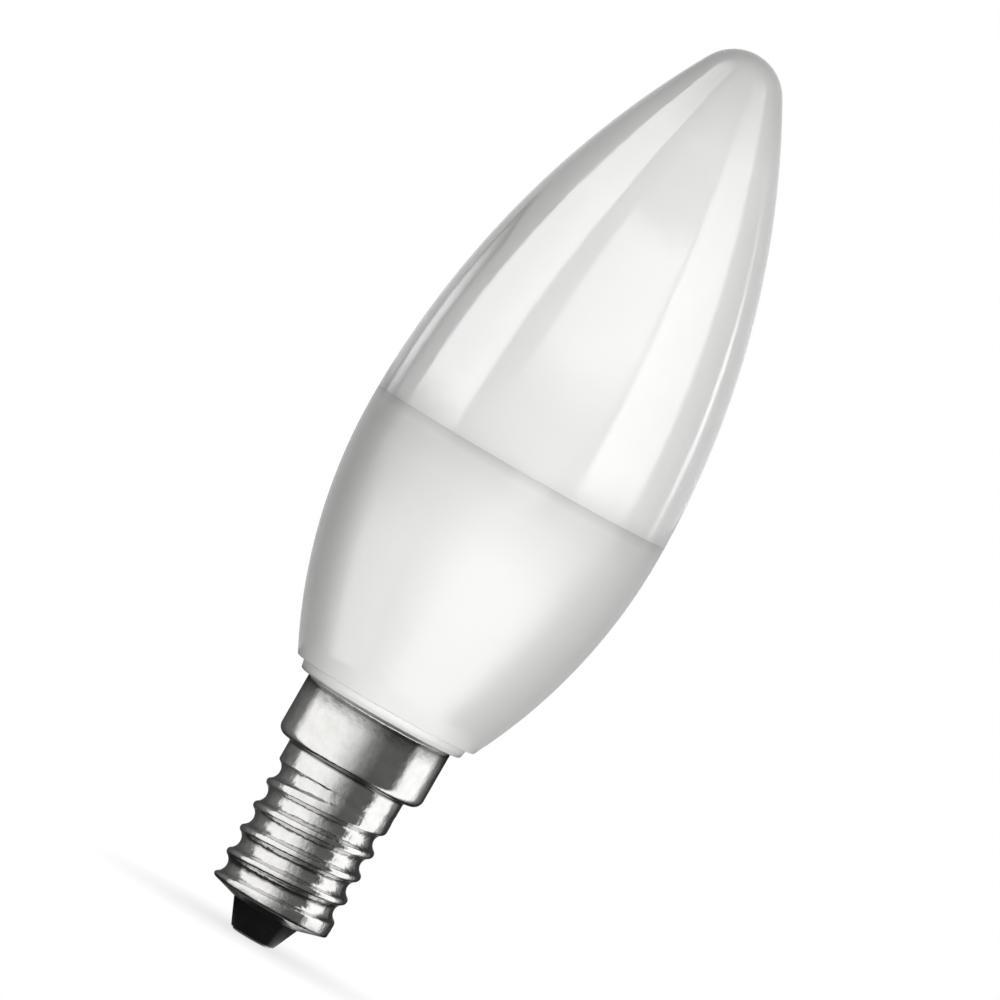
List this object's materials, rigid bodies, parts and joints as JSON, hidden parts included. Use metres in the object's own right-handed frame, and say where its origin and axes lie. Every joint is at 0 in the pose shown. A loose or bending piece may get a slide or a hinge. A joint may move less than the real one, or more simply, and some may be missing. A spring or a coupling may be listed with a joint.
{
  "type": "candle bulb",
  "caption": "Slim candle-shaped LED lamp: opal dome on a white plastic housing, with a small rolled Edison screw cap and a centre contact.",
  "frame": {"origin": "on the lamp's axis, at the end face of the centre contact", "axes": "+Z along the lamp's axis from the centre contact to the tip of the dome; +X and +Y across it, with the last valley of the thread on -X"},
  "size_m": [0.0348, 0.0348, 0.1075],
  "materials": {
    "opal_dome": "glossy opal white polycarbonate, moulded",
    "white_plastic": "smooth semi-gloss white plastic, moulded",
    "plated_shell": "bright nickel plate on drawn and rolled sheet",
    "black_insulator": "glossy black insulating compound",
    "contact_metal": "satin plated contact button"
  },
  "bodies": {
    "root": {"diffuser": "opal_dome", "housing": "white_plastic", "screw_cap": "plated_shell", "insulator": "black_insulator", "centre_contact": "contact_metal"}
  },
  "joints": []
}
